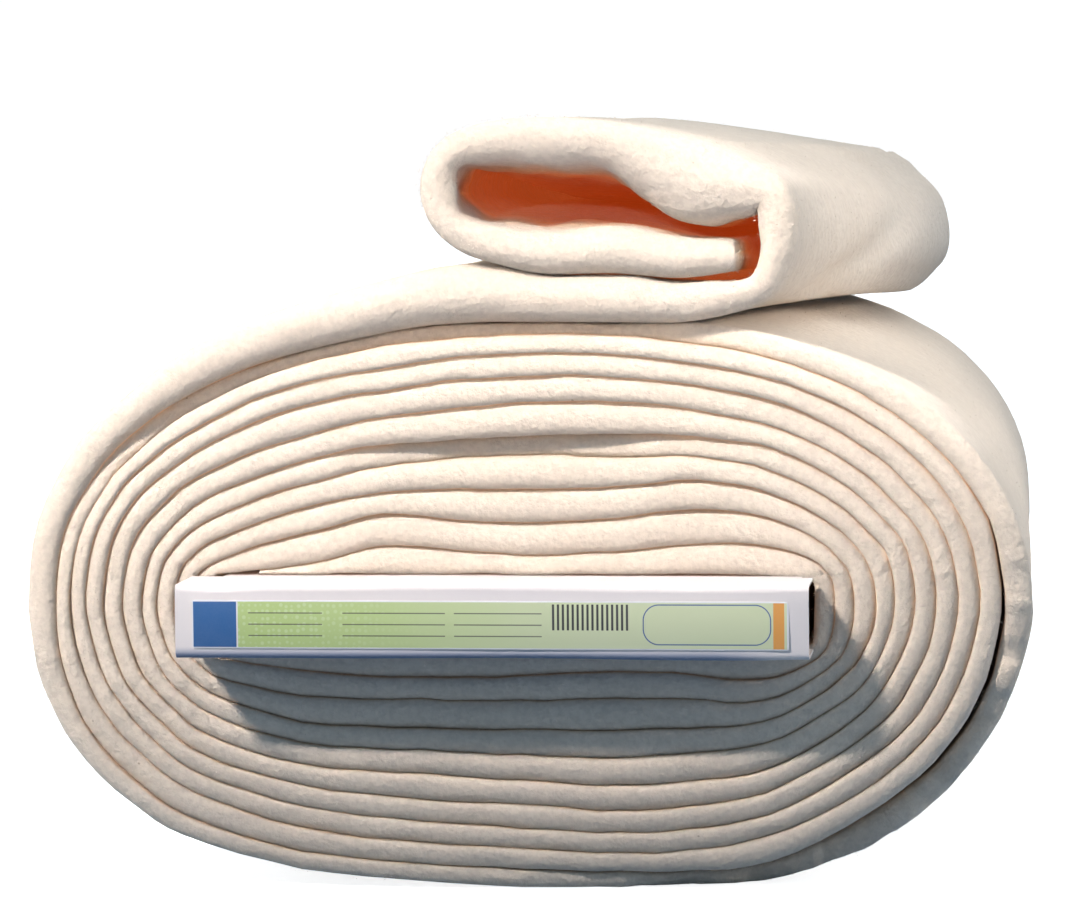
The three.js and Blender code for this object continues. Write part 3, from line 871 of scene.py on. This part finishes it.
def boardMaterial():
    look = boardLook
    material, tree, shader = newMaterial("brown_corrugated_board")
    place = tree.nodes.new("ShaderNodeTexCoord").outputs["Object"]
    axes = axesOf(tree, place)
    normal = axesOf(tree, tree.nodes.new("ShaderNodeNewGeometry").outputs["Normal"])
    grain = addGroup(tree, paperGrain, place, Cloud_Size=60.0, Fibre_Size=700.0)
    tone = mixColor(tree, stepNode(tree, grain.outputs["Tone"], 0.35, 0.65), look["liner"], look["shade"])
    endOn = stepNode(tree, mathNode(tree, "ABSOLUTE", normal["Y"]), 0.6, 0.8)
    layer = mathNode(tree, "DIVIDE", minus(tree, axes["Z"], look["bottom"] * mm), look["layer"] * mm)
    within = mathNode(tree, "FRACT", layer)
    aside = times(tree, mathNode(tree, "FLOOR", layer), 1.7)  # each layer's waves start elsewhere
    turnBy = plus(tree, times(tree, axes["X"], 2 * math.pi / (look["flute"] * mm)), aside)
    wave = plus(tree, times(tree, mathNode(tree, "SINE", turnBy), look["waveHeight"]), 0.5)
    nearWave = minus(tree, look["wavePaper"], mathNode(tree, "ABSOLUTE", minus(tree, within, wave)))
    nearLiner = minus(tree, mathNode(tree, "ABSOLUTE", minus(tree, within, 0.5)), look["linerFrom"])
    waves, liners = stepNode(tree, nearWave, 0.0, 0.05), stepNode(tree, nearLiner, 0.0, 0.04)
    # painted shade: the holes between the waves and the liners are painted dark on the end faces
    hole = times(tree, oneLess(tree, mathNode(tree, "MAXIMUM", waves, liners)), endOn)
    tree.links.new(mixColor(tree, hole, tone, look["gap"]), shader.inputs["Base Color"])
    ribs = times(tree, mathNode(tree, "SINE", turnBy), 0.12)
    relief = minus(tree, times(tree, ribs, oneLess(tree, endOn)), hole)
    height = plus(tree, times(tree, grain.outputs["Height"], 0.3), relief)
    bumpInto(tree, shader, height, *look["bump"])
    shader.inputs["Roughness"].default_value = 0.9
    return material


# The sticker's plain print: fields of colour, empty ruled lines, even stripes and an empty box.
printing = {
    "field": (-137.6, 75.2, 100.9, 118.6, 0.1),  # left, right, bottom, top and corner radius
    "block": (-155.2, -138.2, 100.9, 118.6, 0.1),
    "stripe": (70.0, 74.2, 100.9, 118.6, 0.1),
    "box": (20.2, 69.0, 102.5, 117.8, 6.0), "boxLine": 0.28,
    "bars": (-15.8, 14.4, 107.9, 117.9, 0.0), "barGap": 1.9,
    "rules": [(-133.5, -104.5), (-96.5, -56.5), (-53.0, -19.0)], "ruleGap": 4.4, "ruleLow": 105.4,
    "paleFrom": (-120, 10), "leavesUntil": (-118, -52),  # along X
}


def stickerMaterial():
    material, tree, shader = newMaterial("printed_sticker")
    place = tree.nodes.new("ShaderNodeTexCoord").outputs["Object"]
    scaled = tree.nodes.new("ShaderNodeMapping")  # to millimetres
    scaled.inputs["Scale"].default_value = (1000, 1000, 1000)
    tree.links.new(place, scaled.inputs["Vector"])
    point = scaled.outputs["Vector"]
    axes = axesOf(tree, point)

    def panel(left, right, bottom, top, corner, line=0.0):
        return addGroup(tree, printedPanel, point, Left=left, Right=right, Bottom=bottom, Top=top,
                        Corner=corner, Line=line)

    def band(value, start, end, soft):  # 1 between start and end
        inside = stepNode(tree, value, start, start + soft)
        return times(tree, inside, oneLess(tree, stepNode(tree, value, end, end + soft)))

    grain = addGroup(tree, paperGrain, place, Cloud_Size=50.0, Fibre_Size=1500.0)
    pale = stepNode(tree, axes["X"], *printing["paleFrom"])
    green = mixColor(tree, pale, sticker["green"], sticker["paleGreen"])
    dots = tree.nodes.new("ShaderNodeTexVoronoi")
    dots.inputs["Scale"].default_value = 0.42
    dots.inputs["Randomness"].default_value = 0.35
    tree.links.new(point, dots.inputs["Vector"])
    leaves = oneLess(tree, stepNode(tree, dots.outputs["Distance"], 0.2, 0.42))
    leaves = times(tree, leaves, oneLess(tree, stepNode(tree, axes["X"], *printing["leavesUntil"])))
    green = mixColor(tree, times(tree, leaves, 0.7), green, sticker["leaf"])
    color = mixColor(tree, panel(*printing["field"]).outputs["Inside"], sticker["white"], green)
    color = mixColor(tree, panel(*printing["block"]).outputs["Inside"], color, sticker["blue"])
    color = mixColor(tree, panel(*printing["stripe"]).outputs["Inside"], color, sticker["orange"])
    outline = panel(*printing["box"], printing["boxLine"]).outputs["Outline"]
    color = mixColor(tree, outline, color, sticker["line"])
    low = printing["ruleLow"]
    level = mathNode(tree, "DIVIDE", minus(tree, axes["Z"], low - 0.4), printing["ruleGap"])
    rule = band(mathNode(tree, "FRACT", level), 0.03, 0.13, 0.04)
    for left, right in printing["rules"]:
        lines = times(tree, panel(left, right, low - 1, low + 10.4, 0.0).outputs["Inside"], rule)
        color = mixColor(tree, times(tree, lines, 0.8), color, sticker["ink"])
    step = mathNode(tree, "FRACT", mathNode(tree, "DIVIDE", axes["X"], printing["barGap"]))
    bars = times(tree, panel(*printing["bars"]).outputs["Inside"], band(step, 0.1, 0.55, 0.06))
    color = mixColor(tree, bars, color, sticker["ink"])
    worn = mixColor(tree, times(tree, grain.outputs["Tone"], 0.12), color, sticker["white"])
    tree.links.new(worn, shader.inputs["Base Color"])
    bumpInto(tree, shader, grain.outputs["Height"], 0.03, 0.0001)
    shader.inputs["Roughness"].default_value = 0.42
    return material


cotton = cottonMaterial()
cloth.data.materials.append(cotton)
fuzz.data.materials.append(cotton)
cap.data.materials.append(cardMaterial())
label.data.materials.append(stickerMaterial())
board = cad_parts["core_board"]
board.data.materials.clear()
board.data.materials.append(boardMaterial())
print("materials made")

# The studio: a pale floor under soft light from above and in front.
studio = {
    "floor": (0.95, 0.95, 0.95, 1),
    "bounce": (0.30, 0.38, 0.48, 1),  # the floor's colour as the roll sees it
    "lift": 0.88,                     # and how much it glows where the camera sees it
    "sky": (0.58, 0.80, 1.0, 1), "skyStrength": 0.30, "backdrop": 1.02,
    "lamps": [
        {"name": "key", "place": (-0.63, -1.2, 1.19), "aim": (0.02, -0.3, 0.199),
         "size": (1.3, 0.20), "roll": 31, "spread": 9, "power": 1.16, "color": (1, 0.91, 0.845)},
        {"name": "front", "place": (-0.10, -1.9, 0.45), "aim": (-0.05, -0.3, 0.30),
         "size": (1.0, 0.08), "spread": 12, "power": 0.24, "color": (1, 0.93, 0.88)},
        {"name": "side", "place": (1.5, -0.25, 0.75), "aim": (0.1, -0.1, 0.29),
         "size": (0.5, 0.4), "spread": 26, "power": 0.46, "color": (1, 0.91, 0.81)},
        {"name": "left", "place": (-1.5, -0.1, 0.6), "aim": (-0.2, 0, 0.14),
         "size": (0.5, 0.4), "spread": 30, "power": 0.3, "color": (1, 0.93, 0.87)},
        {"name": "back", "place": (0.5, 1.9, 0.8), "aim": (0, 0.3, 0.14),
         "size": (0.8, 0.8), "spread": 40, "power": 1.2, "color": (1, 0.95, 0.89)},
        {"name": "overhead", "place": (0.6, 0.2, 1.9), "aim": (0, 0, 0),
         "size": 50, "power": 1.0, "color": (1, 0.965, 0.92)},
    ],
}

bpy.ops.mesh.primitive_plane_add(size=120, location=(0, 0, 0))
floor = bpy.context.object
floor.name = "floor"
floorMaterial, floorTree, floorShader = newMaterial("pale_floor")
seen = floorTree.nodes.new("ShaderNodeLightPath").outputs["Is Camera Ray"]
floorTone = mixColor(floorTree, seen, studio["bounce"], studio["floor"])
floorGlow = mixColor(floorTree, seen, (0, 0, 0, 1), (1, 1, 1, 1))
floorTree.links.new(floorTone, floorShader.inputs["Base Color"])
floorTree.links.new(floorGlow, floorShader.inputs["Emission Color"])
floorShader.inputs["Emission Strength"].default_value = studio["lift"]
floorShader.inputs["Roughness"].default_value = 1.0
floorShader.inputs["Specular IOR Level"].default_value = 0
floor.data.materials.append(floorMaterial)

world = bpy.data.worlds.new("studio")
bpy.context.scene.world = world
world.use_nodes = True
worldTree = world.node_tree
soft = worldTree.nodes["Background"]
soft.inputs["Color"].default_value = studio["sky"]
soft.inputs["Strength"].default_value = studio["skyStrength"]
plain = worldTree.nodes.new("ShaderNodeBackground")
plain.inputs["Color"].default_value = (1, 1, 1, 1)
plain.inputs["Strength"].default_value = studio["backdrop"]
either = worldTree.nodes.new("ShaderNodeMixShader")
rays = worldTree.nodes.new("ShaderNodeLightPath")
worldTree.links.new(rays.outputs["Is Camera Ray"], either.inputs["Fac"])
worldTree.links.new(soft.outputs[0], either.inputs[1])
worldTree.links.new(plain.outputs[0], either.inputs[2])
worldTree.links.new(either.outputs[0], worldTree.nodes["World Output"].inputs["Surface"])

for lamp in studio["lamps"]:
    if "spread" in lamp:
        lightData = bpy.data.lights.new(lamp["name"], "AREA")
        lightData.shape = "RECTANGLE"
        lightData.size, lightData.size_y = lamp["size"]
        lightData.spread = math.radians(lamp["spread"])
    else:  # a sun, whose size is an angle
        lightData = bpy.data.lights.new(lamp["name"], "SUN")
        lightData.angle = math.radians(lamp["size"])
    lightData.energy = lamp["power"]
    lightData.color = lamp["color"]
    light = bpy.data.objects.new(lamp["name"], lightData)
    light.location = lamp["place"]
    turned = (Vector(lamp["aim"]) - light.location).to_track_quat("-Z", "Y")
    light.rotation_euler = (turned @ Quaternion((0, 0, 1), math.radians(lamp.get("roll", 0)))).to_euler()
    light.visible_camera = False
    bpy.context.scene.collection.objects.link(light)
bpy.context.scene.view_settings.view_transform = "Standard"
print("studio set")
